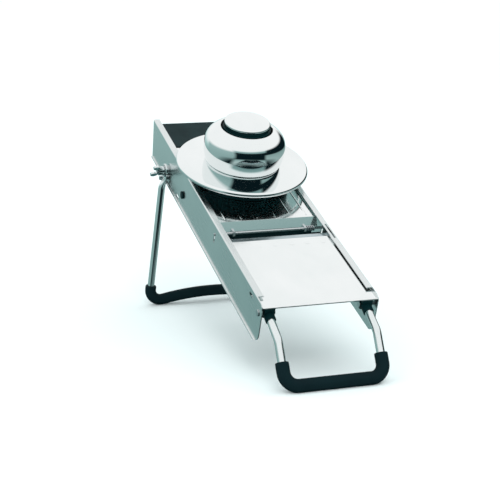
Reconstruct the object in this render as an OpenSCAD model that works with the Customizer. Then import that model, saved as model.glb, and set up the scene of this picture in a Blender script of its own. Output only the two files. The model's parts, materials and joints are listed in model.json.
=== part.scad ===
// Free-standing mandoline slicer with two folding legs and a sliding dome-shaped food holder.
// Millimetres. X runs across the body, +Y points to the high end and +Z is up. The origin is on the
// floor, under the middle of the whole object.
// Two frames are used. The world frame holds the legs. The slope frame holds everything else: its Y is
// s, the distance up the deck from the front edge, and its Z is n, the height above the rail tops.

/* [Body] */
// Width over the two side rails
body_w = 124; // [120:1:128]
// Length of the rails along the slope
rail_len = 403; // [400:1:406]
// Depth of the side rails
rail_depth = 46; // [45:0.5:48]
// Slope of the deck, in degrees
slope = 20.7; // [20:0.1:21.5]
// Height of the rail tops above the floor at the front edge
front_rise = 77.8; // [76:0.1:80]
// Thickness of the rail sheet
sheet_t = 1; // [0.8:0.1:1.2]
// Width of the flange along each rail's top
flange_w = 7; // [6:0.5:8]
// Depth of the deck's surface below the rail tops
deck_drop = 2.75; // [2.5:0.05:3]

/* [Cutting] */
// Thickness of the landing plate and of the feed plate
plate_t = 1.2; // [1:0.1:1.4]
// Where the landing plate ends, up the slope
landing_len = 122.4; // [120:0.2:124]
// Where the blade's cutting edge lies
edge_s = 132; // [130:0.5:134]
// Where the feed plate's lip turns down
lip_s = 163.5; // [162:0.5:165]
// How far the feed plate tilts down, in degrees
feed_tilt = 2.6; // [1.5:0.1:3]

/* [Food holder] */
// Where the food holder stands on the slope
holder_s = 257; // [250:1:262]
// Radius of the steel disc over its rolled rim
disc_r = 74; // [70:0.5:76]
// Largest radius of the dome
dome_r = 45.4; // [44:0.2:47]
// Radius of the plunger's cap
cap_r = 25.5; // [25:0.5:26.5]

/* [Legs] */
// Distance from the deck's front edge forward to the front foot
foot_reach = 36.6; // [34:0.2:39]
// Half the distance between the front leg's rods
front_half_w = 52; // [50:0.5:53]
// Half the distance between the rear leg's rods at the foot
rear_half_w = 78; // [76:0.5:80]
// Backward lean of the rear leg, in degrees
rear_lean = 9.74; // [8:0.1:12]
// Rise of the rear crossbar's arch at its ends, in degrees
arch_angle = 11.8; // [8:0.2:14]

/* [Hidden] */
$fn = 64;

running_fit = 0.05;        // radial clearance of a pin that turns in a bore
clear = 0.3;               // gap between parts that pass each other
over = 1;                  // how far a cutting shape passes the face it cuts
seam = 0.02;               // how much thinner a rod's straight lengths are than its bends
tuck = 0.3;                // how far a straight length runs into a bend

half_w = body_w / 2;
web_x = half_w - sheet_t;  // inner face of a rail
bend_r = 1.5;              // outside radius of the rails' bends
rail_lip = 1.5;            // how far the lower edge is turned out
back_cut = 8;              // how far the rails' back edge leans in at the bottom
flange_start = 17;         // where the top flange begins
deck_n = -deck_drop;
plate_under = deck_n - plate_t;

// Floor position of the middle of the object, measured from the deck's front edge
front_sleeve_r = 6.75;
front_end_y = -foot_reach - front_sleeve_r;
back_end_y = (rail_len - 1 - back_cut) * cos(slope) + rail_depth * sin(slope);
mid_y = (front_end_y + back_end_y) / 2;

// Fasteners and pins across the body, each [s, n]
rear_pivot = [330, -30];
front_pivot = [9, -13.6];
plate_hinge = [329, -9];
cam_pivot = [268, -28];
guide_pos = [153, -11];
bar_pos = [112, -7.65];
grip_screw_s = [350, 386];
grip_screw_n = -9;
bolt_r = 3;
leg_pin_r = 2;
hinge_pin_r = 2;
cam_shaft_r = 3;
guide_rod_r = 1.5;
rail_rivet_r = 1.5;

// World position of a point of the slope frame, as [y, z]
function to_world(p) = [p[0] * cos(slope) - p[1] * sin(slope) - mid_y,
                        front_rise + p[0] * sin(slope) + p[1] * cos(slope)];

// ---------------------------------------------------------------- placing

module slope_frame() translate([0, -mid_y, front_rise]) rotate([slope, 0, 0]) children();

module holder_frame() slope_frame() translate([0, holder_s, 0]) children();

// A cylinder across the body, centred on a point [s, n] of the slope frame
module across(p, x0, x1, r) translate([x0, p[0], p[1]]) rotate([0, 90, 0]) cylinder(h = x1 - x0, r = r);

// A shape drawn in (s, n), extruded across the body
module side_view(x0, x1) translate([x0, 0, 0]) rotate([90, 0, 90]) linear_extrude(x1 - x0) children();

// A shape drawn in (x, n), extruded up the slope
module end_view(s0, s1) translate([0, s1, 0]) rotate([90, 0, 0]) linear_extrude(s1 - s0) children();

module both_sides() {
    children();
    mirror([1, 0, 0]) children();
}

// What rounding removes from a corner at the origin, with the shape in the first quadrant
module corner_cut(r) difference() {
    translate([-over, -over]) square(r + over);
    translate([r, r]) circle(r);
}

// A quarter of a sheet's bend, in the quadrant counted from 0
module sheet_bend(quadrant) rotate(90 * quadrant) intersection() {
    difference() {
        circle(bend_r);
        circle(bend_r - sheet_t);
    }
    square(bend_r);
}

// ---------------------------------------------------------------- side rails

module rail_profile() {
    translate([half_w - flange_w, -sheet_t]) square([flange_w - bend_r, sheet_t]);
    translate([half_w - bend_r, -bend_r]) sheet_bend(0);
    translate([web_x, bend_r - rail_depth]) square([sheet_t, rail_depth - 2 * bend_r]);
    translate([web_x + bend_r, bend_r - rail_depth]) sheet_bend(2);
    translate([web_x + bend_r, -rail_depth]) square([rail_lip - bend_r + sheet_t, sheet_t]);
}

module rail_outline() {
    nose_r = 13;
    brow_r = 8;
    difference() {
        polygon([[0, 0], [rail_len - 1, 0], [rail_len - 1 - back_cut, -rail_depth], [0, -rail_depth]]);
        translate([0, -rail_depth]) corner_cut(nose_r);
        mirror([0, 1]) corner_cut(brow_r);
    }
}

// The slot that the feed plate's guide rod moves in
module guide_slot() {
    slot_r = guide_rod_r + clear;
    drop = (plate_hinge[0] - guide_pos[0]) * tan(feed_tilt);
    low = [guide_pos[0], guide_pos[1] - drop];
    across(guide_pos, web_x - over, half_w + over, slot_r);
    across(low, web_x - over, half_w + over, slot_r);
    translate([web_x - over, low[0] - slot_r, low[1]]) cube([sheet_t + 2 * over, 2 * slot_r, drop]);
}

module slot_hole(p, length, r) {
    for (end = [-1, 1])
        across([p[0] + end * (length / 2 - r), p[1]], web_x - over, half_w + over, r);
    translate([web_x - over, p[0] - length / 2 + r, p[1] - r])
        cube([sheet_t + 2 * over, length - 2 * r, 2 * r]);
}

module side_rail() difference() {
    intersection() {
        end_view(0, rail_len) rail_profile();
        side_view(half_w - flange_w - over, half_w + rail_lip + over) rail_outline();
    }
    translate([half_w - flange_w - over, -over, -bend_r])
        cube([flange_w - sheet_t + over, flange_start + over, bend_r + over]);
    across(rear_pivot, web_x - over, half_w + over, bolt_r);
    across(front_pivot, web_x - over, half_w + over, leg_pin_r);
    across(plate_hinge, web_x - over, half_w + over, hinge_pin_r);
    across(cam_pivot, web_x - over, half_w + over, cam_shaft_r + running_fit);
    across(bar_pos, web_x - over, half_w + over, rail_rivet_r);
    for (s = grip_screw_s) across([s, grip_screw_n], web_x - over, half_w + over, rail_rivet_r);
    guide_slot();
    slot_hole([32, -8], 10, 2);
    slot_hole([287, -40], 11, 1.8);
}

module left_side_rail() color("lightsteelblue") slope_frame() mirror([1, 0, 0]) side_rail();

// The right rail alone has a long slot in its flange, beside the blade
module right_side_rail() color("lightsteelblue") slope_frame() difference() {
    side_rail();
    translate([half_w - 4.4, 113, -sheet_t - over]) cube([2, 29, sheet_t + 2 * over]);
}

// ---------------------------------------------------------------- fixed plates and blade

blade_rivet_pitch = 17.8;
blade_rivet_r = 1.9;

module at_blade_rivets() for (i = [-2.5:2.5]) translate([i * blade_rivet_pitch, bar_pos[0], 0]) children();

module landing_plate() color("gainsboro") slope_frame() difference() {
    translate([-web_x, 0, plate_under]) cube([2 * web_x, landing_len, plate_t]);
    at_blade_rivets() translate([0, 0, plate_under - over]) cylinder(h = plate_t + 2 * over, r = blade_rivet_r);
}

blade_t = 1.2;
blade_under = plate_under - blade_t;

module slicing_blade() color("silver") slope_frame() difference() {
    side_view(clear - web_x, web_x - clear)
        polygon([[105, plate_under], [landing_len + 0.6, plate_under], [edge_s, blade_under + 0.1],
                 [edge_s - 0.4, blade_under], [105, blade_under]]);
    at_blade_rivets() translate([0, 0, blade_under - over]) cylinder(h = blade_t + 2 * over, r = blade_rivet_r);
}

bar_h = 5;
bar_w = 12;

module blade_bar() color("silver") slope_frame() difference() {
    translate([-web_x, bar_pos[0] - bar_w / 2, blade_under - bar_h]) cube([2 * web_x, bar_w, bar_h]);
    at_blade_rivets() translate([0, 0, blade_under - bar_h - over])
        cylinder(h = bar_h + 2 * over, r = blade_rivet_r);
    both_sides() across(bar_pos, web_x - 8, web_x + over, rail_rivet_r);
}

module blade_rivets() color("silver") slope_frame() at_blade_rivets() {
    head_r = 2.7;
    head_h = 0.1;
    translate([0, 0, blade_under - bar_h]) cylinder(h = deck_n - blade_under + bar_h, r = blade_rivet_r);
    translate([0, 0, deck_n]) cylinder(h = head_h, r = head_r);
    translate([0, 0, blade_under - bar_h - 0.6]) cylinder(h = 0.6, r = head_r);
}

module rail_rivets() color("silver") slope_frame() both_sides()
    across(bar_pos, web_x - 8, half_w, rail_rivet_r);

// A moulded beam that ties the rails behind the blade, with its ends low enough for the feed plate's skirts
module cross_beam() color("darkslategray") slope_frame() {
    beam_s = 163;
    beam_t = 4;
    beam_top = -15;
    beam_low = -30;
    end_top = -25;
    translate([-54, beam_s, beam_low]) cube([108, beam_t, beam_top - beam_low]);
    both_sides() translate([54, beam_s, beam_low]) cube([web_x - 54, beam_t, end_top - beam_low]);
}

// ---------------------------------------------------------------- grip at the high end

grip_start = 336;
grip_end = 399;
grip_h = 14;
grip_wall = 4;

module end_grip() color("darkslategray") slope_frame() difference() {
    side_view(-web_x, web_x) difference() {
        translate([grip_start, deck_n - grip_h]) square([grip_end - grip_start, grip_h]);
        translate([grip_end, deck_n]) rotate(180) corner_cut(5);
        translate([grip_end, deck_n - grip_h]) rotate(90) corner_cut(3);
    }
    side_view(grip_wall - web_x, web_x - grip_wall)
        translate([grip_start + grip_wall, deck_n - grip_h - over])
            square([grip_end - grip_start - 2 * grip_wall, grip_h - 3 + over]);
    both_sides() for (s = grip_screw_s)
        across([s, grip_screw_n], web_x - grip_wall - over, web_x + over, rail_rivet_r);
}

module grip_screws() color("silver") slope_frame() both_sides() for (s = grip_screw_s)
    across([s, grip_screw_n], web_x - grip_wall, half_w, rail_rivet_r);

// ---------------------------------------------------------------- pins and bolts fixed to the rails

module plate_hinge_pin() color("silver") slope_frame() across(plate_hinge, -half_w, half_w, hinge_pin_r);

eye_in = half_w + rail_lip + clear;  // inner face of the rear leg's flattened eyes
eye_t = 2.7;
washer_t = 0.8;
washer_in = eye_in + eye_t + 0.1;
nut_in = washer_in + washer_t + 0.2;
nut_h = 6;

module rear_pivot_bolts() color("silver") slope_frame() both_sides() {
    across(rear_pivot, web_x, nut_in + nut_h + 2, bolt_r);
    across(rear_pivot, half_w, eye_in - 0.1, 6);
    translate([web_x - 4, rear_pivot[0], rear_pivot[1]]) rotate([0, 90, 0]) cylinder(h = 4, r = 6, $fn = 6);
}

module rear_leg_washers() color("silver") slope_frame() both_sides() difference() {
    across(rear_pivot, washer_in, washer_in + washer_t, 7);
    across(rear_pivot, washer_in - over, washer_in + washer_t + over, bolt_r);
}

rear_rod_r = 4;
stop_r = 2.5;
stop_down = 11;            // how far down the leg the stop touches it

// The stops stand behind the rear leg's rods, at right angles to the leg
module rear_leg_stops() color("silver") slope_frame() both_sides() {
    leg_angle = rear_lean - slope - 90;
    reach = rear_rod_r + stop_r + 0.1;
    stop_pos = rear_pivot + stop_down * [cos(leg_angle), sin(leg_angle)]
             + reach * [cos(leg_angle + 90), sin(leg_angle + 90)];
    across(stop_pos, half_w, half_w + 8, stop_r);
}

knuckle_half = 5.4;        // half the width of the front leg's knuckles

module front_leg_pins() color("silver") slope_frame() both_sides() {
    inner = front_half_w - knuckle_half - clear;
    across(front_pivot, inner, half_w, leg_pin_r);
    across(front_pivot, half_w, half_w + 1.2, 3.4);
    across(front_pivot, inner - 1.5, inner, 3.2);
}

// ---------------------------------------------------------------- feed plate and its adjuster

feed_half_w = 57;
feed_end = 333;
skirt_n = -15;             // lower edge of the feed plate's side skirts
lip_end = [157.2, -11.5];
lip_angle = atan2(deck_n - lip_end[1], lip_s - lip_end[0]);
lip_in = lip_end + plate_t * [sin(lip_angle), -cos(lip_angle)];
lip_root = [lip_in[0] + (plate_under - lip_in[1]) / tan(lip_angle), plate_under];

module feed_plate() color("gainsboro") slope_frame() {
    side_view(-feed_half_w, feed_half_w)
        polygon([[lip_s, deck_n], [feed_end, deck_n], [feed_end, plate_under], lip_root, lip_in, lip_end]);
    both_sides() side_view(feed_half_w - plate_t, feed_half_w)
        polygon([lip_in, lip_root, [322, plate_under], [322, -7], [296, skirt_n], [163, skirt_n]]);
    for (x = [10, 28, 46]) both_sides() end_view(lip_s + 4, feed_end - 4) intersection() {
        translate([x, deck_n - 2.2]) circle(2.5);
        translate([x - 3, deck_n - plate_t / 2]) square([6, 2]);
    }
}

module plate_knuckles() color("silver") slope_frame() both_sides() difference() {
    knuckle_r = 4.4;
    union() {
        across(plate_hinge, 36, 44, knuckle_r);
        translate([36, plate_hinge[0] - 4, plate_hinge[1]])
            cube([8, 2 * 4, plate_under - plate_hinge[1]]);
    }
    across(plate_hinge, 36 - over, 44 + over, hinge_pin_r + running_fit);
}

// The brackets stand on the lip's front face and hold the guide rod before it
module rod_brackets() color("silver") slope_frame() both_sides() difference() {
    top = -8.8;
    low = -13.4;
    front = guide_pos[0] - 2.4;
    side_view(39.5, 42)
        polygon([[front, low], [front, top], [lip_end[0] + (top - lip_end[1]) / tan(lip_angle), top], lip_end,
                 [lip_end[0], low]]);
    across(guide_pos, 39.5 - over, 42 + over, guide_rod_r);
}

module guide_rod() color("silver") slope_frame() across(guide_pos, -half_w - 1, half_w + 1, guide_rod_r);

module guide_spring() color("dimgray") slope_frame() {
    wire_r = 0.7;
    coil_r = 2.5;
    coils = 5;
    pitch = 2.1;
    translate([42.8, guide_pos[0], guide_pos[1]]) rotate([0, 90, 0]) for (i = [0:coils - 1])
        translate([0, 0, i * pitch]) rotate_extrude() translate([coil_r, 0]) circle(wire_r, $fn = 24);
}

cam_x = 53.9;
cam_w = 5;
lever_turn = 60;           // how far the adjuster turns, in degrees
lever_rest = -70;          // direction of the lever at rest, from the slope's own direction
lever_len = 44;
cam_throw = (plate_hinge[0] - cam_pivot[0]) * tan(feed_tilt) / (2 * sin(lever_turn / 2));
cam_r = skirt_n - cam_pivot[1] - clear - cam_throw * sin(lever_turn / 2);

module cam_shaft() color("silver") slope_frame()
    across(cam_pivot, -half_w - clear, half_w + clear, cam_shaft_r);

module shaft_caps() color("darkslategray") slope_frame() both_sides()
    across(cam_pivot, half_w + clear, half_w + clear + 1.6, 4.4);

module lift_cams() color("dimgray") slope_frame() both_sides() difference() {
    centre = cam_pivot + cam_throw * [cos(lever_turn / 2), sin(lever_turn / 2)];
    across(centre, cam_x, cam_x + cam_w, cam_r);
    across(cam_pivot, cam_x - over, cam_x + cam_w + over, cam_shaft_r);
}

module along_lever() slope_frame() translate([0, cam_pivot[0], cam_pivot[1]])
    rotate([lever_rest - 90, 0, 0]) children();

module adjuster_lever() color("silver") {
    along_lever() difference() {
        union() {
            rotate([0, 90, 0]) cylinder(h = 14, r = 7, center = true);
            cylinder(h = lever_len, r = 3);
        }
        rotate([0, 90, 0]) cylinder(h = 14 + 2 * over, r = cam_shaft_r, center = true);
    }
}

module lever_grip() color("darkslategray") along_lever() difference() {
    grip_r = 6.5;
    union() {
        translate([0, 0, lever_len - 18]) cylinder(h = 20, r = grip_r);
        translate([0, 0, lever_len + 2]) sphere(grip_r);
    }
    translate([0, 0, lever_len - 19]) cylinder(h = 19, r = 3);
}

// ---------------------------------------------------------------- rear leg

// A straight length of rod from its frame's origin up to h, tucked into the bend below it
module straight_rod(h, r) translate([0, 0, -tuck]) cylinder(h = h + tuck, r = r - seam);

rear_sleeve_r = 6.5;
sole_cut = 0.5;            // depth of the flat soles under the rubber feet
rear_bend_r = 13;
rear_top_x = eye_in + rear_rod_r + 0.1;
eye_r = 8;
rod_top = 10;              // where the round rod begins, below the pivot
rear_world = to_world(rear_pivot);
rear_lowest = (rear_world[1] - rear_sleeve_r + sole_cut) / cos(rear_lean);
bend_x = rear_half_w - rear_bend_r;
bend_down = rear_lowest - rear_bend_r;
splay = asin((rear_half_w - rear_top_x) / (bend_down - rod_top));
rod_end = [bend_x + rear_bend_r * cos(splay), bend_down - rear_bend_r * sin(splay)];
arch_r = (bend_x - rear_bend_r * sin(arch_angle)) / sin(arch_angle);
arch_down = bend_down + (rear_bend_r + arch_r) * cos(arch_angle);

module rear_leg_frame() translate([0, rear_world[0], rear_world[1]]) rotate([rear_lean, 0, 0]) children();

// The bent rear rod, in the leg's own plane, with its side rods cut off at the given depth
module rear_rod_path(r, from) {
    both_sides() {
        translate([rod_end[0], 0, -rod_end[1]]) rotate([0, -splay, 0])
            straight_rod((rod_end[1] - from) / cos(splay), r);
        translate([bend_x, 0, -bend_down]) rotate([90, 0, 0]) rotate(-90 - arch_angle)
            rotate_extrude(angle = 90 + splay + arch_angle) translate([rear_bend_r, 0]) circle(r);
    }
    half_arch = arch_angle + tuck / arch_r * 180 / PI;
    translate([0, 0, -arch_down]) rotate([90, 0, 0]) rotate(90 - half_arch)
        rotate_extrude(angle = 2 * half_arch) translate([arch_r, 0]) circle(r - seam);
}

// The rod's upper ends are flattened into eyes that turn on the pivot bolts
module rear_leg_rod() color("silver") rear_leg_frame() {
    neck_w = 7.4;
    rear_rod_path(rear_rod_r, rod_top);
    both_sides() difference() {
        union() {
            translate([eye_in, 0, 0]) rotate([0, 90, 0]) cylinder(h = eye_t, r = eye_r);
            translate([eye_in, -neck_w / 2, -rod_top - 7]) cube([eye_t, neck_w, rod_top + 7]);
        }
        translate([eye_in - over, 0, 0]) rotate([0, 90, 0])
            cylinder(h = eye_t + 2 * over, r = bolt_r + running_fit);
    }
}

rear_sleeve_top = 144;     // where the rubber begins, below the pivot

module rear_foot_sleeve() color("darkslategray") difference() {
    rear_leg_frame() difference() {
        rear_rod_path(rear_sleeve_r, rear_sleeve_top);
        rear_rod_path(rear_rod_r, rod_top);
    }
    translate([-100, rear_world[0] - 20, -10]) cube([200, 80, 10]);
}

// ---------------------------------------------------------------- wing nuts

wing_turn = 58;            // how far the wings lie from upright, in degrees

module wing_nut() {
    wing_t = 2.4;
    difference() {
        union() {
            translate([nut_in, 0, 0]) rotate([0, 90, 0]) cylinder(h = nut_h, r = 5.4);
            translate([0, wing_t / 2, 0]) rotate([90, 0, 0]) linear_extrude(wing_t) {
                for (side = [-1, 1]) {
                    polygon([[nut_in + 0.5, 3.5 * side], [nut_in + nut_h - 0.5, 3.5 * side],
                             [nut_in + nut_h + 5, 6 * side], [nut_in + nut_h, 9 * side],
                             [nut_in + 2.5, 6 * side]]);
                    translate([nut_in + nut_h + 3.6, 8.6 * side]) circle(4.1);
                }
            }
        }
        translate([nut_in - over, 0, 0]) rotate([0, 90, 0]) cylinder(h = nut_h + 12, r = bolt_r + running_fit);
    }
}

module right_wing_nut() color("silver") slope_frame() translate([0, rear_pivot[0], rear_pivot[1]])
    rotate([wing_turn - slope, 0, 0]) wing_nut();

module left_wing_nut() color("silver") mirror([1, 0, 0]) right_wing_nut();

// ---------------------------------------------------------------- front leg

front_rod_r = 4.25;
front_bend_r = 14;
elbow_r = 15;
front_lean = 26.7;         // backward lean of the lower rods, from upright
elbow_turn = 27.6;         // further bend at the elbow
bar_world = [-foot_reach - mid_y, front_sleeve_r - sole_cut];
front_world = to_world(front_pivot);
to_pivot = front_world - bar_world;
pivot_back = to_pivot[0] * cos(front_lean) - to_pivot[1] * sin(front_lean);
pivot_up = to_pivot[0] * sin(front_lean) + to_pivot[1] * cos(front_lean);
upper_len = (pivot_back - elbow_r * (1 - cos(elbow_turn))) / sin(elbow_turn);
elbow_up = pivot_up - elbow_r * sin(elbow_turn) - upper_len * cos(elbow_turn);
socket_top = 6;            // distance from the pivot to the end of the rod

module front_leg_frame() translate([0, bar_world[0], bar_world[1]]) rotate([-front_lean, 0, 0]) children();

// The frame of an upper rod: its Z runs up the rod and its origin is at the elbow's upper end
module upper_rod_frame() front_leg_frame()
    translate([front_half_w, elbow_r * (1 - cos(elbow_turn)), elbow_up + elbow_r * sin(elbow_turn)])
        rotate([-elbow_turn, 0, 0]) children();

// The straight crossbar, its two corners and the lower rods
module front_lower_path(r, top) front_leg_frame() {
    straight = front_half_w - front_bend_r;
    translate([-straight - tuck, 0, 0]) rotate([0, 90, 0])
        cylinder(h = 2 * (straight + tuck), r = r - seam);
    both_sides() {
        translate([straight, 0, front_bend_r]) rotate([90, 0, 0]) rotate(-90)
            rotate_extrude(angle = 90) translate([front_bend_r, 0]) circle(r);
        translate([front_half_w, 0, front_bend_r]) straight_rod(top - front_bend_r, r);
    }
}

module front_leg_rod() color("silver") {
    front_lower_path(front_rod_r, elbow_up + tuck);
    both_sides() {
        front_leg_frame() translate([front_half_w, elbow_r, elbow_up]) rotate([0, 90, 0])
            rotate(-90 - elbow_turn) rotate_extrude(angle = elbow_turn) translate([elbow_r, 0])
                circle(front_rod_r);
        upper_rod_frame() straight_rod(upper_len - socket_top, front_rod_r);
    }
}

// Moulded knuckles: the pad on top stops against the deck when the leg is down
module front_leg_knuckles() color("darkslategray") both_sides() difference() {
    socket_len = 11.5;
    pad_gap = 0.15;
    union() {
        slope_frame()
            across(front_pivot, front_half_w - knuckle_half, front_half_w + knuckle_half, knuckle_half);
        upper_rod_frame() translate([0, 0, upper_len - socket_len]) cylinder(h = socket_len, r = knuckle_half);
        slope_frame() translate([front_half_w - knuckle_half, front_pivot[0] - knuckle_half, front_pivot[1]])
            cube([2 * knuckle_half, knuckle_half, plate_under - front_pivot[1] - pad_gap]);
    }
    upper_rod_frame() translate([0, 0, upper_len - socket_len - over])
        cylinder(h = socket_len + over - socket_top, r = front_rod_r);
    slope_frame() across(front_pivot, front_half_w - 8, front_half_w + 8, leg_pin_r + running_fit);
}

module front_foot_sleeve() color("darkslategray") difference() {
    sleeve_top = 24;       // how far the rubber reaches up the lower rods
    front_lower_path(front_sleeve_r, sleeve_top);
    front_lower_path(front_rod_r, sleeve_top + over);
    translate([-100, bar_world[0] - 20, -10]) cube([200, 60, 10]);
}

// ---------------------------------------------------------------- food holder

disc_n = 17.2;             // height of the disc's top just inside the rim
disc_rise = 1.4;           // how much higher the disc is at the dome
disc_t = 1.2;
rim_r = 3;
neck_r = 40;
shell_t = 1.2;
belly_n = 39;              // height of the dome's widest point
crown_h = 25.5;            // height of the dome above its widest point
crown_power = 2 / 2.4;     // fullness of the dome's shoulder
opening_r = 27;
sleeve_r = 24;
base_r = 55;
base_in_r = 46;
neck_n = disc_n + disc_rise;

// Half of the dome's section, at a distance inside its outer surface
function dome_line(inset) = concat(
    [for (a = [0:15:75]) [neck_r - inset + (dome_r - neck_r) * sin(a), belly_n - (belly_n - neck_n) * cos(a)]],
    [for (a = [0:6:54]) [(dome_r - inset) * pow(cos(a), crown_power),
                         belly_n + (crown_h - inset) * pow(sin(a), crown_power)]]);

module holder_dome() color("silver") holder_frame() {
    outer = dome_line(0);
    inner = dome_line(shell_t);
    rotate_extrude() polygon(concat(outer, [for (i = [len(inner) - 1:-1:0]) inner[i]]));
}

// The disc's edge is curled under into a rolled rim
module holder_disc() color("silver") holder_frame() rotate_extrude() polygon(concat(
    [[neck_r - 2, neck_n]],
    [for (a = [90:-15:-210]) [disc_r - rim_r + rim_r * cos(a), disc_n - rim_r + rim_r * sin(a)]],
    [[neck_r - 2, neck_n - disc_t]]));

screw_circle = 50.5;

module at_holder_screws() for (a = [45:90:315]) rotate(a) translate([screw_circle, 0, 0]) children();

module holder_base() color("darkslategray") holder_frame() difference() {
    base_low = deck_n + 0.45;
    tongue_n = -sheet_t - 0.35;
    union() {
        translate([0, 0, clear]) cylinder(h = disc_n - disc_t - clear, r = base_r);
        translate([0, 0, base_low]) cylinder(h = clear - base_low, r = half_w - flange_w - 0.6);
        both_sides() translate([half_w - flange_w - 6, -25, base_low])
            cube([flange_w + 6 - sheet_t - 0.5, 50, tongue_n - base_low]);
    }
    translate([0, 0, base_low - over]) cylinder(h = disc_n + 10, r = base_in_r);
    at_holder_screws() {
        translate([0, 0, base_low - over]) cylinder(h = over - base_low + 2.5, r = 2.8);
        cylinder(h = disc_n, r = 1.5);
    }
}

module holder_screws() color("dimgray") holder_frame() at_holder_screws() {
    cylinder(h = 2.5, r = 2.8);
    translate([0, 0, 2.5]) cylinder(h = disc_n - disc_t - 2.5, r = 1.5);
}

module guide_ring() color("darkslategray") holder_frame() difference() {
    translate([0, 0, 50]) cylinder(h = 11, r = opening_r - 0.2);
    translate([0, 0, 49]) cylinder(h = 13, r = sleeve_r + running_fit);
}

// ---------------------------------------------------------------- plunger

cap_n = 64.2;              // underside of the cap
cap_edge = 2;
cap_crown = 4.5;
spike_n = 28;              // underside of the spiked plate
spike_plate_t = 2;

module plunger_cap() color("silver") holder_frame() rotate_extrude() polygon(concat(
    [[0, cap_n], [cap_r - 0.6, cap_n]],
    [for (a = [0:10:90]) [cap_r * cos(a), cap_n + cap_edge + cap_crown * sin(a)]]));

module plunger_sleeve() color("darkslategray") holder_frame() difference() {
    bottom = spike_n + spike_plate_t;
    translate([0, 0, bottom]) cylinder(h = cap_n - bottom, r = sleeve_r);
    translate([0, 0, bottom - over]) cylinder(h = cap_n - bottom + 2 * over, r = sleeve_r - 2.5);
}

module spike_plate() color("silver") holder_frame() translate([0, 0, spike_n])
    cylinder(h = spike_plate_t, r = 36);

module food_spikes() color("silver") holder_frame() {
    spike_len = 20;
    for (a = [0:36:324]) rotate(a) translate([29.5, 0, spike_n - spike_len])
        cylinder(h = spike_len, r1 = 0.3, r2 = 1.3);
}

// ---------------------------------------------------------------- nodes

left_side_rail();
right_side_rail();
landing_plate();
slicing_blade();
blade_bar();
blade_rivets();
rail_rivets();
cross_beam();
end_grip();
grip_screws();
plate_hinge_pin();
rear_pivot_bolts();
rear_leg_washers();
rear_leg_stops();
front_leg_pins();
feed_plate();
plate_knuckles();
rod_brackets();
guide_rod();
guide_spring();
cam_shaft();
shaft_caps();
lift_cams();
adjuster_lever();
lever_grip();
rear_leg_rod();
rear_foot_sleeve();
left_wing_nut();
right_wing_nut();
front_leg_rod();
front_leg_knuckles();
front_foot_sleeve();
holder_disc();
holder_dome();
holder_base();
guide_ring();
holder_screws();
plunger_cap();
plunger_sleeve();
spike_plate();
food_spikes();
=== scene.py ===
"""Looks of a free-standing mandoline slicer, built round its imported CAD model. The pieces' lengths are in
millimetres until a mesh is placed, which turns them into metres in the model's own frame. The floor, the
light and the camera are in metres throughout."""
import json
import math
import bmesh
import bpy
from mathutils import Matrix, Vector


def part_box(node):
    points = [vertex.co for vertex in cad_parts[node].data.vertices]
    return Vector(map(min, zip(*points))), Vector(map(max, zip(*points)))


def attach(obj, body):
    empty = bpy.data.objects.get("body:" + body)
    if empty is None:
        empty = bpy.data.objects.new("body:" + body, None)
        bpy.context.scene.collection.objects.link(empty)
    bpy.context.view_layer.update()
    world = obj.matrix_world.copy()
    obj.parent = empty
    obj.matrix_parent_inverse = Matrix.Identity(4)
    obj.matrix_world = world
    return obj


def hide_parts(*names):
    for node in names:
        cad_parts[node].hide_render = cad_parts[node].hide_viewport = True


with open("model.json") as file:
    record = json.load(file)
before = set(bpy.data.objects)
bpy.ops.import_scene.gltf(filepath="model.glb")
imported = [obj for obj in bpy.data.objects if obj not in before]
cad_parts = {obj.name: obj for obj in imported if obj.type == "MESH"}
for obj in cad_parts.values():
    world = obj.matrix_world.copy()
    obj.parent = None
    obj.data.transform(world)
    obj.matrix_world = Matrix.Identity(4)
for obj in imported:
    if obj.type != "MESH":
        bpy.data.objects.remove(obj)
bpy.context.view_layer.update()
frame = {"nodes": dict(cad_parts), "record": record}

# ------------------------------------------------------------------ the model's own directions and places

MM = 0.001
JOINTS = {j["name"]: j for j in frame["record"]["behaviour"]["joints"]}
UP_SLOPE = Vector(JOINTS["holder_slide"]["axis"])
NORMAL = Vector(JOINTS["plunger_slide"]["axis"])
SLOPE_ANGLE = math.atan2(UP_SLOPE.z, UP_SLOPE.y)
REAR_PIVOT = Vector(JOINTS["rear_leg_fold"]["pos_m"])
FRONT_PIVOT = Vector(JOINTS["front_leg_fold"]["pos_m"])
REAR_PIVOT_S, REAR_PIVOT_N = 330, -30
HOLDER_S = 257


def axes_matrix(x, y, z, origin):
    """A matrix from millimetres along three axes to metres in the model's frame."""
    turn = Matrix((x, y, z)).transposed().to_4x4()
    return Matrix.Translation(origin) @ turn @ Matrix.Scale(MM, 4)


deck_edge = REAR_PIVOT - UP_SLOPE * REAR_PIVOT_S * MM - NORMAL * REAR_PIVOT_N * MM
SLOPE = axes_matrix(Vector((1, 0, 0)), UP_SLOPE, NORMAL, deck_edge)
HOLDER = SLOPE @ Matrix.Translation((0, HOLDER_S, 0))


def leaning(origin, degrees):
    """The frame of a leg that leans back from upright by an angle."""
    lean = Matrix.Rotation(math.radians(degrees), 4, "X")
    return Matrix.Translation(origin) @ lean @ Matrix.Scale(MM, 4)


# ------------------------------------------------------------------ materials

def new_nodes(name):
    """A new material, its node tree and its main shader."""
    material = bpy.data.materials.new(name)
    material.use_nodes = True
    tree = material.node_tree
    return material, tree, tree.nodes["Principled BSDF"]


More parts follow.
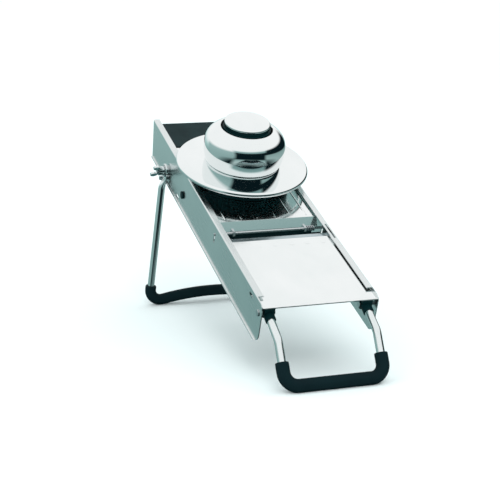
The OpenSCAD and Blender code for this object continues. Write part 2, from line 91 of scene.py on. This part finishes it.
def noise(tree, scale, stretch=(1, 1, 1), detail=4.0):
    """Noise in the model's frame, turned to run with the slope and stretched by a factor per axis."""
    where = tree.nodes.new("ShaderNodeTexCoord")
    mapping = tree.nodes.new("ShaderNodeMapping")
    mapping.vector_type = "TEXTURE"
    mapping.inputs["Rotation"].default_value = (SLOPE_ANGLE, 0, 0)
    mapping.inputs["Scale"].default_value = stretch
    texture = tree.nodes.new("ShaderNodeTexNoise")
    texture.inputs["Scale"].default_value = scale
    texture.inputs["Detail"].default_value = detail
    tree.links.new(where.outputs["Object"], mapping.inputs["Vector"])
    tree.links.new(mapping.outputs["Vector"], texture.inputs["Vector"])
    return texture.outputs["Fac"]


def to_range(tree, value, low, high, low_in=0.3, high_in=0.7):
    """Maps a value from one range to another. The default input range is where noise mostly lies."""
    node = tree.nodes.new("ShaderNodeMapRange")
    node.inputs["From Min"].default_value = low_in
    node.inputs["From Max"].default_value = high_in
    node.inputs["To Min"].default_value = low
    node.inputs["To Max"].default_value = high
    tree.links.new(value, node.inputs["Value"])
    return node.outputs["Result"]


def mixed(tree, share, first, second):
    """Mixes two colours, each a plain (r, g, b) or another node's output."""
    node = tree.nodes.new("ShaderNodeMix")
    node.data_type = "RGBA"
    tree.links.new(share, node.inputs[0])
    for socket, colour in ((node.inputs[6], first), (node.inputs[7], second)):
        if isinstance(colour, tuple):
            socket.default_value = (*colour, 1)
        else:
            tree.links.new(colour, socket)
    return node.outputs[2]


def added(tree, a, b):
    """The sum of two values."""
    node = tree.nodes.new("ShaderNodeMath")
    tree.links.new(a, node.inputs[0])
    tree.links.new(b, node.inputs[1])
    return node.outputs[0]


def bumped(tree, shader, value, strength, depth):
    """Gives a shader fine relief from a value. The depth is in metres."""
    node = tree.nodes.new("ShaderNodeBump")
    node.inputs["Strength"].default_value = strength
    node.inputs["Distance"].default_value = depth
    tree.links.new(value, node.inputs["Height"])
    tree.links.new(node.outputs["Normal"], shader.inputs["Normal"])


def toned(tree, shader, patches, light, dark):
    """Colours a shader between two tones by a patchy value."""
    tone = mixed(tree, to_range(tree, patches, 0, 1), light, dark)
    tree.links.new(tone, shader.inputs["Base Color"])


ALONG_SLOPE = (1, 40, 1)       # how far brushed grain is drawn out on each axis
ACROSS_SLOPE = (40, 1, 1)
GRAIN_SCALE, GRAIN_DEPTH = 1400, 0.00004
SMUDGE_SCALE, SMUDGE_STRETCH = 28, (1, 1.6, 1)
PATCH_SCALE, PEBBLE_STRENGTH = 45, 0.35
DULL_SHEEN = 0.05              # black plastic and rubber have hardly any highlight of their own


def steel(name, light, dark, smooth, rough, grain=ALONG_SLOPE, scratch=0.05):
    """Brushed or polished steel, with faint smudges in its gloss and its tone."""
    material, tree, shader = new_nodes(name)
    shader.inputs["Metallic"].default_value = 1
    brushing = noise(tree, GRAIN_SCALE, grain, 3)
    smudge = noise(tree, SMUDGE_SCALE, SMUDGE_STRETCH, 5)
    toned(tree, shader, smudge, light, dark)
    gloss = added(tree, to_range(tree, brushing, smooth / 2, rough / 2),
                  to_range(tree, smudge, smooth / 2, rough / 2))
    tree.links.new(gloss, shader.inputs["Roughness"])
    bumped(tree, shader, brushing, scratch, GRAIN_DEPTH)
    return material


def moulded(name, light, dark, smooth, rough, scale, depth):
    """Black plastic or rubber: a fine pebbled skin with uneven gloss."""
    material, tree, shader = new_nodes(name)
    skin = noise(tree, scale, detail=3)
    patch = noise(tree, PATCH_SCALE)
    toned(tree, shader, patch, light, dark)
    tree.links.new(to_range(tree, patch, smooth, rough), shader.inputs["Roughness"])
    shader.inputs["Specular IOR Level"].default_value = DULL_SHEEN
    bumped(tree, shader, skin, PEBBLE_STRENGTH, depth)
    return material


LOOKS = {
    "rail_steel": steel("rail_steel", (0.76, 0.80, 0.80), (0.69, 0.74, 0.74), 0.18, 0.30, scratch=0.10),
    "plate_steel": steel("plate_steel", (0.88, 0.91, 0.91), (0.83, 0.87, 0.87), 0.08, 0.16, scratch=0.04),
    "blade_steel": steel("blade_steel", (0.50, 0.58, 0.60), (0.42, 0.50, 0.53), 0.12, 0.26, ACROSS_SLOPE),
    "fitting_steel": steel("fitting_steel", (0.60, 0.64, 0.65), (0.50, 0.55, 0.56), 0.18, 0.34),
    "spring_steel": steel("spring_steel", (0.50, 0.54, 0.56), (0.38, 0.42, 0.44), 0.18, 0.30),
    "leg_chrome": steel("leg_chrome", (0.80, 0.85, 0.85), (0.74, 0.80, 0.80), 0.07, 0.14, scratch=0.02),
    "holder_chrome": steel("holder_chrome", (0.88, 0.91, 0.91), (0.83, 0.87, 0.87), 0.015, 0.06,
                           scratch=0.01),
    "black_plastic": moulded("black_plastic", (0.003, 0.020, 0.022), (0.002, 0.014, 0.016), 0.28, 0.40,
                             2600, 0.00005),
    "black_rubber": moulded("black_rubber", (0.003, 0.011, 0.014), (0.004, 0.015, 0.018), 0.45, 0.62,
                            1500, 0.00012),
}
SLOTS = {row["node"]: row["material_slot"] for row in frame["record"]["subparts"]}
BODIES = frame["record"]["behaviour"]["bodies"]
BODY_OF = {node: body for body, nodes in BODIES.items() for node in nodes}

# ------------------------------------------------------------------ mesh making

SHARP = math.radians(38)       # edges that turn more than this stay crisp
FLAT = math.radians(1.5)       # neighbouring faces that turn less than this are joined before rounding
WELD = 1e-6                    # metres within which points count as one


def finish_piece(name, mesh, node):
    """Makes an object of a mesh that stands for a CAD node, with that node's body and finish."""
    mesh.shade_smooth()
    mesh.set_sharp_from_angle(angle=SHARP)
    piece = bpy.data.objects.new(name, mesh)
    bpy.context.scene.collection.objects.link(piece)
    slot = SLOTS[node]
    mesh.materials.clear()
    mesh.materials.append(LOOKS[slot])
    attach(piece, BODY_OF[node])
    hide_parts(node)
    return piece


def mesh_of(name, bm, matrix):
    """A mesh of a finished bmesh, placed by a matrix. The bmesh is freed."""
    bmesh.ops.recalc_face_normals(bm, faces=bm.faces)
    mesh = bpy.data.meshes.new(name)
    bm.to_mesh(mesh)
    bm.free()
    mesh.transform(matrix)
    return mesh


def lathe(bm, outline, steps=144):
    """Turns a closed outline of (radius, height) points round the Z axis. A point on the axis is a pole."""
    turns = [math.tau * i / steps for i in range(steps)]
    rings = []
    for radius, height in outline:
        used = turns[:1] if radius < WELD else turns
        rings.append([bm.verts.new((radius * math.cos(a), radius * math.sin(a), height)) for a in used])
    for first, second in zip(rings, rings[1:] + rings[:1]):
        if len(first) == 1 and len(second) == 1:
            continue
        for i in range(steps):
            j = (i + 1) % steps
            corners = [first[i % len(first)], first[j % len(first)],
                       second[j % len(second)], second[i % len(second)]]
            bm.faces.new(list(dict.fromkeys(corners)))


def arc(centre, radius, start, end, steps):
    """Points of an arc between two angles in degrees."""
    turn = [math.radians(start + (end - start) * i / steps) for i in range(steps + 1)]
    return [(centre[0] + radius * math.cos(a), centre[1] + radius * math.sin(a)) for a in turn]


def sweep(bm, points, section, side, ring=40):
    """Sweeps a closed section along a path. section(i) gives half sizes along the side and across it, and
    side(i) gives the side direction at each point."""
    rings = []
    for i, point in enumerate(points):
        before = points[max(i - 1, 0)]
        after = points[min(i + 1, len(points) - 1)]
        along = (after - before).normalized()
        u = (side(i) - along * side(i).dot(along)).normalized()
        v = along.cross(u)
        a, b = section(i)
        rings.append([bm.verts.new(point + u * (a * math.cos(math.tau * k / ring))
                                   + v * (b * math.sin(math.tau * k / ring))) for k in range(ring)])
    for first, second in zip(rings, rings[1:]):
        for k in range(ring):
            m = (k + 1) % ring
            bm.faces.new((first[k], first[m], second[m], second[k]))
    bm.faces.new(rings[0])
    bm.faces.new(reversed(rings[-1]))


def eased(value):
    """A smooth rise from 0 to 1, flat at both ends."""
    share = min(max(value, 0), 1)
    return share * share * (3 - 2 * share)


def even_path(corners, step):
    """Points along a polyline, no further apart than a step."""
    points = [corners[0]]
    for first, second in zip(corners, corners[1:]):
        count = max(1, math.ceil((second - first).length / step))
        points += [first.lerp(second, (i + 1) / count) for i in range(count)]
    return points


def softened(node, width, segments):
    """A copy of a CAD node with its edges rounded over, as pressed or moulded edges are."""
    bm = bmesh.new()
    bm.from_mesh(frame["nodes"][node].data)
    bmesh.ops.remove_doubles(bm, verts=bm.verts, dist=WELD)
    bmesh.ops.dissolve_limit(bm, angle_limit=FLAT, verts=bm.verts, edges=bm.edges)
    edges = [e for e in bm.edges if len(e.link_faces) == 2 and e.calc_face_angle(0) > SHARP]
    bmesh.ops.bevel(bm, geom=edges, offset=width * MM, segments=segments, profile=0.5,
                    affect="EDGES", clamp_overlap=True)
    mesh = mesh_of(node + "_shape", bm, Matrix.Identity(4))
    piece = finish_piece(node + "_piece", mesh, node)
    weighted = piece.modifiers.new("face weights", "WEIGHTED_NORMAL")
    weighted.keep_sharp = True
    return piece


# ------------------------------------------------------------------ rails, plates and small fittings

# Each row is the rounding's width, its segments and the nodes that have it
ROUNDINGS = [
    (0.22, 2, ("left_side_rail", "right_side_rail")),
    (0.18, 2, ("landing_plate", "feed_plate", "slicing_blade")),
    (0.3, 2, ("blade_bar", "rod_brackets", "plate_knuckles", "lift_cams", "rear_leg_washers")),
    (0.04, 2, ("blade_rivets",)),
    (0.4, 2, ("rail_rivets", "grip_screws", "plate_hinge_pin", "rear_pivot_bolts", "rear_leg_stops",
              "front_leg_pins", "guide_rod", "cam_shaft", "adjuster_lever", "spike_plate", "holder_screws",
              "shaft_caps")),
    (0.8, 3, ("left_wing_nut", "right_wing_nut")),
    (0.6, 3, ("end_grip", "cross_beam", "front_leg_knuckles", "holder_base", "lever_grip", "guide_ring",
              "plunger_sleeve")),
    (0.05, 2, ("food_spikes",)),
]
for rounding, segments, nodes in ROUNDINGS:
    for node in nodes:
        softened(node, rounding, segments)

# The spring round the guide rod is one wound wire
GUIDE_S, GUIDE_N = 153, -11
SPRING_START, SPRING_LEN, SPRING_TURNS = 42.8, 8.8, 4
SPRING_R, WIRE_R = 2.5, 0.7
COIL_STEPS = 24                # points in one turn of the coil


def guide_spring():
    steps = COIL_STEPS * SPRING_TURNS
    points = []
    for i in range(steps + 1):
        turn = math.tau * SPRING_TURNS * i / steps
        points.append(Vector((SPRING_START + SPRING_LEN * i / steps,
                              GUIDE_S + SPRING_R * math.cos(turn),
                              GUIDE_N + SPRING_R * math.sin(turn))))
    bm = bmesh.new()
    sweep(bm, points, lambda i: (WIRE_R, WIRE_R), lambda i: Vector((1, 0, 0)), 12)
    finish_piece("guide_spring_coil", mesh_of("guide_spring_coil", bm, SLOPE), "guide_spring")


guide_spring()

# ------------------------------------------------------------------ legs

BEND_STEP = 5      # degrees between the rings of a bend
ROD_STEP = 6       # millimetres between the rings of a straight rod
SLEEVE_GAP = 0.1   # how far a sleeve's mouth stands off its rod
ACROSS = Vector((0, 1, 0))


def in_plane(points):
    """Turns (x, z) points into vectors in a leg's own plane."""
    return [Vector((x, 0, z)) for x, z in points]


def flatten_sole(mesh):
    """Presses flat whatever would reach below the floor."""
    for vertex in mesh.vertices:
        vertex.co.z = max(vertex.co.z, 0)


def sleeve(name, path, node, matrix, rod_r, outer_r, side):
    """A rubber sleeve round a path, with rounded mouths and a flat sole."""
    mouth = [(0.0, -1.4), (0.0, -0.75), (0.35, -0.2), (1.0, 0.0)]     # (distance in, change of radius)
    start = (path[1] - path[0]).normalized()
    end = (path[-2] - path[-1]).normalized()
    points = [path[0] + start * d for d, _ in mouth] + path[1:-1]
    points += [path[-1] + end * d for d, _ in reversed(mouth)]
    mouth_radii = [outer_r + r for _, r in mouth]
    radii = mouth_radii + [outer_r] * (len(path) - 2) + mouth_radii[::-1]
    radii[0] = radii[-1] = rod_r + SLEEVE_GAP
    bm = bmesh.new()
    sweep(bm, points, lambda i: (radii[i], radii[i]), side, 48)
    mesh = mesh_of(name, bm, matrix)
    flatten_sole(mesh)
    return finish_piece(name, mesh, node)


def flat_eye(eye_in, eye_t, eye_r, bolt_r):
    """A ring with rounded edges round a bolt, standing across the body."""
    edge = 0.5
    ring = bmesh.new()
    lathe(ring, [(bolt_r, edge), (bolt_r + edge, 0), (eye_r - edge, 0), (eye_r, edge),
                 (eye_r, eye_t - edge), (eye_r - edge, eye_t), (bolt_r + edge, eye_t),
                 (bolt_r, eye_t - edge)], 64)
    sign = math.copysign(1, eye_in)
    ring.transform(Matrix.Translation((eye_in, 0, 0)) @ Matrix.Rotation(sign * math.pi / 2, 4, "Y"))
    mesh = bpy.data.meshes.new("eye")
    ring.to_mesh(mesh)
    ring.free()
    return mesh


def rear_leg():
    """The rod, which is one bent piece flattened into an eye at each end, and the rubber on its foot."""
    lean, arch = 9.74, 11.8
    half_w, bend_r, rod_r, sleeve_r, sole = 78, 13, 4, 6.5, 0.5
    rod_top, eye_in, eye_t, eye_r, bolt_r = 10, 63.8, 2.7, 8, 3.05
    neck, neck_half, draw_in, flatten, sleeve_top = 6, 5.4, 16, 15, 144
    near_side, near_top = half_w - 16, 40
    top_x = eye_in + rod_r + 0.1
    lowest = (REAR_PIVOT.z / MM - sleeve_r + sole) / math.cos(math.radians(lean))
    bend = (half_w - bend_r, -(lowest - bend_r))
    splay = math.degrees(math.asin((half_w - top_x) / (-bend[1] - rod_top)))
    corner = arc(bend, bend_r, splay, -90 - arch, int((90 + splay + arch) / BEND_STEP))
    arch_r = (bend[0] - bend_r * math.sin(math.radians(arch))) / math.sin(math.radians(arch))
    arch_centre = (0, bend[1] - (bend_r + arch_r) * math.cos(math.radians(arch)))
    bar = arc(arch_centre, arch_r, 90 - arch, 90, 12)
    slope_x = math.tan(math.radians(splay))
    eye_x = eye_in + eye_t / 2

    def rod_point(down):
        """The rod's centre line, drawn in to the flat eye near its top."""
        round_x = corner[0][0] - slope_x * (-corner[0][1] - down)
        return (eye_x + (round_x - eye_x) * eased((down - neck) / draw_in), -down)

    down = [4 + 2 * i for i in range(12)]
    straight_end = -corner[0][1]
    straight = [rod_point(d) for d in down]
    count = int((straight_end - down[-1]) / ROD_STEP)
    straight += [rod_point(down[-1] + (straight_end - down[-1]) * (i + 1) / count)
                 for i in range(count - 1)]
    half = in_plane(straight + corner + bar[1:])
    path = half + [Vector((-p.x, 0, p.z)) for p in reversed(half[:-1])]

    def section(i):
        """Half sizes of the rod: wide and flat beside the eye, and round from there on."""
        depth = -path[i].z
        beside_eye = abs(path[i].x) > near_side and depth < near_top
        full = eased((depth - neck) / flatten) if beside_eye else 1
        return (neck_half + (rod_r - neck_half) * full, eye_t / 2 + (rod_r - eye_t / 2) * full)

    matrix = leaning(REAR_PIVOT, lean)
    bm = bmesh.new()
    sweep(bm, path, section, lambda i: ACROSS)
    for sign in (1, -1):
        eye = flat_eye(sign * eye_in, eye_t, eye_r, bolt_r)
        bm.from_mesh(eye)
        bpy.data.meshes.remove(eye)
    finish_piece("rear_leg_tube", mesh_of("rear_leg_tube", bm, matrix), "rear_leg_rod")
    covered = [p for p in path if -p.z > sleeve_top]
    first = Vector((corner[0][0] - slope_x * (straight_end - sleeve_top), 0, -sleeve_top))
    last = Vector((-first.x, 0, first.z))
    sleeve("rear_foot_rubber", [first] + covered + [last], "rear_foot_sleeve", matrix, rod_r, sleeve_r,
           lambda i: ACROSS)


rear_leg()


def front_leg():
    """The rod, with its elbow below each knuckle, and the rubber on its foot."""
    lean, elbow_turn, elbow_r, elbow_steps, bend_r = 26.7, 27.6, 15, 8, 14
    half_w, rod_r, sleeve_r, sole, socket_top, sleeve_top = 52, 4.25, 6.75, 0.5, 6, 24
    low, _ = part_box("front_foot_sleeve")
    bar_at = Vector((0, low[1] + sleeve_r * MM, (sleeve_r - sole) * MM))
    matrix = leaning(bar_at, -lean)
    pivot = matrix.inverted() @ FRONT_PIVOT
    turn = math.radians(elbow_turn)
    upper = (pivot.y - elbow_r * (1 - math.cos(turn))) / math.sin(turn)
    elbow_up = pivot.z - elbow_r * math.sin(turn) - upper * math.cos(turn)
    bar = [(0, 0), ((half_w - bend_r) / 2, 0)]
    corner = arc((half_w - bend_r, bend_r), bend_r, -90, 0, int(90 / BEND_STEP))
    lower = in_plane(bar + corner)
    rise = even_path([lower[-1], Vector((half_w, 0, elbow_up))], ROD_STEP)
    bent = []
    for i in range(1, elbow_steps + 1):
        a = turn * i / elbow_steps
        bent.append(Vector((half_w, elbow_r * (1 - math.cos(a)), elbow_up + elbow_r * math.sin(a))))
    end = bent[-1] + Vector((0, math.sin(turn), math.cos(turn))) * (upper - socket_top)
    half = lower + rise[1:] + bent + even_path([bent[-1], end], ROD_STEP)[1:]
    path = [Vector((-p.x, p.y, p.z)) for p in reversed(half[1:])] + half

    def side(i):
        """Turns the section's reference from across the bar to across the rods without a twist."""
        return ACROSS if path[i].y < WELD else Vector((0, math.cos(turn), -math.sin(turn)))

    bm = bmesh.new()
    sweep(bm, path, lambda i: (rod_r, rod_r), side)
    finish_piece("front_leg_tube", mesh_of("front_leg_tube", bm, matrix), "front_leg_rod")
    covered = [p for p in path if p.z < sleeve_top and p.y < WELD]
    first = Vector((-half_w, 0, sleeve_top))
    last = Vector((half_w, 0, sleeve_top))
    sleeve("front_foot_rubber", [first] + covered + [last], "front_foot_sleeve", matrix, rod_r, sleeve_r,
           lambda i: ACROSS)


front_leg()

# ------------------------------------------------------------------ food holder and plunger

DISC_R, RIM_R, DISC_N, DISC_RISE, DISC_T = 74, 3, 17.2, 1.4, 1.2
NECK_R, BELLY_R, BELLY_N, CROWN_H, CROWN_POWER, SHELL_T = 40, 45.4, 39, 25.5, 2 / 2.4, 1.2
NECK_N = DISC_N + DISC_RISE
BELLY_STEPS, CROWN_STEPS, CROWN_SWEEP = 24, 28, 54
LAP = 2            # how far the disc runs in under the dome's neck
CAP_R, CAP_N, CAP_EDGE, CAP_CROWN = 25.5, 64.2, 2, 4.5


def dome_line(inset):
    """The dome's outline, from its neck out to the belly and over the crown to the edge of its mouth."""
    points = []
    for i in range(BELLY_STEPS + 1):
        a = math.radians(90 * i / BELLY_STEPS)
        points.append((NECK_R - inset + (BELLY_R - NECK_R) * math.sin(a),
                       BELLY_N - (BELLY_N - NECK_N) * math.cos(a)))
    for i in range(1, CROWN_STEPS + 1):
        a = math.radians(CROWN_SWEEP * i / CROWN_STEPS)
        points.append(((BELLY_R - inset) * math.cos(a) ** CROWN_POWER,
                       BELLY_N + (CROWN_H - inset) * math.sin(a) ** CROWN_POWER))
    return points


def food_holder():
    """The dome's shell, the disc with its rolled rim, and the plunger's cap."""
    bm = bmesh.new()
    lathe(bm, dome_line(0) + dome_line(SHELL_T)[::-1])
    finish_piece("holder_dome_shell", mesh_of("holder_dome_shell", bm, HOLDER), "holder_dome")
    rim_centre = (DISC_R - RIM_R, DISC_N - RIM_R)
    rim = arc(rim_centre, RIM_R, 90, -170, 26) + arc(rim_centre, RIM_R - DISC_T, -170, 90, 26)
    bm = bmesh.new()
    lathe(bm, [(NECK_R - LAP, NECK_N)] + rim + [(NECK_R - LAP, NECK_N - DISC_T)], 192)
    finish_piece("holder_disc_plate", mesh_of("holder_disc_plate", bm, HOLDER), "holder_disc")
    bm = bmesh.new()
    crown = [(CAP_R * math.cos(math.radians(a)), CAP_N + CAP_EDGE + CAP_CROWN * math.sin(math.radians(a)))
             for a in range(0, 91, 5)]
    crown[-1] = (0, crown[-1][1])
    lower_edge = [(CAP_R - 0.9, CAP_N), (CAP_R - 0.25, CAP_N + 0.3), (CAP_R, CAP_N + 0.9)]
    lathe(bm, [(0, CAP_N)] + lower_edge + crown)
    finish_piece("plunger_cap_top", mesh_of("plunger_cap_top", bm, HOLDER), "plunger_cap")


food_holder()

# ------------------------------------------------------------------ floor, light and camera

def ramp(tree, value, stops):
    """A colour for each height of a direction, from straight down (-1) to straight up (1)."""
    node = tree.nodes.new("ShaderNodeValToRGB")
    tree.links.new(to_range(tree, value, 0, 1, -1, 1), node.inputs["Fac"])
    elements = node.color_ramp.elements
    while len(elements) < len(stops):
        elements.new(0.5)
    for element, (height, colour) in zip(elements, stops):
        element.position = (height + 1) / 2
        element.color = (*colour, 1)
    return node.outputs["Color"]


# What reflections see on each side of the room, as (height of the direction, colour). The camera sees
# plain white instead
WHITE = (1.0, 1.0, 1.0)
BLACK = (0.003, 0.010, 0.013)
TEAL = (0.27, 0.41, 0.40)
BEHIND = [(-1.0, (0.02, 0.05, 0.055)), (-0.6, (0.10, 0.22, 0.22)), (-0.15, (0.28, 0.43, 0.42)),
          (0.0, (0.42, 0.62, 0.60)), (0.16, (0.80, 0.88, 0.88)), (0.34, WHITE)]
IN_FRONT = [(-1.0, BLACK), (-0.80, BLACK), (-0.68, (0.42, 0.55, 0.54)), (-0.58, TEAL), (-0.48, BLACK),
            (0.16, BLACK), (0.20, (0.20, 0.32, 0.32)), (0.32, TEAL), (0.42, (0.92, 0.97, 0.97)),
            (0.50, WHITE)]
AT_RIGHT = [(-1.0, BLACK), (-0.62, BLACK), (-0.42, (0.32, 0.45, 0.44)), (-0.12, (0.24, 0.36, 0.35)),
            (-0.04, BLACK), (0.34, BLACK), (0.46, WHITE)]
AT_LEFT = [(-1.0, BLACK), (-0.60, BLACK), (-0.40, TEAL), (0.14, (0.34, 0.49, 0.48)), (0.34, WHITE)]
FRONT_TO_BACK = (-0.10, 0.30)  # where along each direction one side of the room gives way to the next
TO_RIGHT = (0.60, 0.72)
TO_LEFT = (-0.60, -0.74)
FILL = (1.03, 1.17, 1.18)      # what lights the object and the floor from all round
FLOOR_REACH = 60


def pale_floor():
    """A white floor, which reflections don't see."""
    floor = bpy.data.objects.new("floor", bpy.data.meshes.new("floor"))
    bm = bmesh.new()
    bmesh.ops.create_grid(bm, x_segments=1, y_segments=1, size=FLOOR_REACH)
    bm.to_mesh(floor.data)
    bm.free()
    bpy.context.scene.collection.objects.link(floor)
    material, tree, shader = new_nodes("pale_floor")
    toned(tree, shader, noise(tree, 6, detail=3), (0.985, 0.99, 0.99), (0.975, 0.98, 0.98))
    shader.inputs["Roughness"].default_value = 0.6
    shader.inputs["Specular IOR Level"].default_value = 0.0
    floor.data.materials.append(material)
    floor.visible_glossy = False


def between(tree, place, limits, first, second):
    """Mixes two colours by where a value lies between two limits."""
    return mixed(tree, to_range(tree, place, 0, 1, *limits), first, second)


def room():
    """Plain white to the camera, an even fill to matt surfaces, and a coloured room to reflections."""
    world = bpy.data.worlds.new("studio")
    bpy.context.scene.world = world
    world.use_nodes = True
    tree = world.node_tree
    background = tree.nodes["Background"]
    direction = tree.nodes.new("ShaderNodeTexCoord")
    split = tree.nodes.new("ShaderNodeSeparateXYZ")
    tree.links.new(direction.outputs["Generated"], split.inputs["Vector"])
    x, y, z = split.outputs
    walls = between(tree, y, FRONT_TO_BACK, ramp(tree, z, IN_FRONT), ramp(tree, z, BEHIND))
    walls = between(tree, x, TO_RIGHT, walls, ramp(tree, z, AT_RIGHT))
    walls = between(tree, x, TO_LEFT, walls, ramp(tree, z, AT_LEFT))
    kind = tree.nodes.new("ShaderNodeLightPath")
    plain = mixed(tree, kind.outputs["Is Camera Ray"], FILL, WHITE)
    seen = mixed(tree, kind.outputs["Is Glossy Ray"], plain, walls)
    tree.links.new(seen, background.inputs["Color"])
    background.inputs["Strength"].default_value = 1.0


def softbox(name, place, target, size, power):
    """A square lamp aimed at a point, which reflections don't see."""
    light = bpy.data.lights.new(name, "AREA")
    light.shape = "RECTANGLE"
    light.size = light.size_y = size
    light.energy = power
    holder = bpy.data.objects.new(name, light)
    holder.location = place
    holder.rotation_mode = "QUATERNION"
    holder.rotation_quaternion = (Vector(target) - Vector(place)).to_track_quat("-Z", "Y")
    holder.visible_glossy = False
    bpy.context.scene.collection.objects.link(holder)


pale_floor()
room()
softbox("top_box", place=(-0.45, -2.2, 2.1), target=(0, 0.1, 0), size=1.0, power=15)

CAMERA_AZIMUTH, CAMERA_ELEVATION = math.radians(-19.75), math.radians(11.6)
CAMERA_DISTANCE = 1.336
FOCAL_LENGTH, SENSOR = 99.33, 36
TARGET = Vector((-0.0678, -0.1507, 0.1299))


def camera():
    """The camera, on a sphere round its target."""
    data = bpy.data.cameras.new("camera")
    data.lens = FOCAL_LENGTH
    data.sensor_width = SENSOR
    back = Vector((math.sin(CAMERA_AZIMUTH) * math.cos(CAMERA_ELEVATION),
                   -math.cos(CAMERA_AZIMUTH) * math.cos(CAMERA_ELEVATION),
                   math.sin(CAMERA_ELEVATION)))
    seen_from = bpy.data.objects.new("camera", data)
    seen_from.location = TARGET + back * CAMERA_DISTANCE
    seen_from.rotation_mode = "QUATERNION"
    seen_from.rotation_quaternion = (-back).to_track_quat("-Z", "Y")
    data.clip_start, data.clip_end = 0.05, 200
    bpy.context.scene.collection.objects.link(seen_from)
    bpy.context.scene.camera = seen_from


camera()
bpy.context.scene.view_settings.view_transform = "Standard"
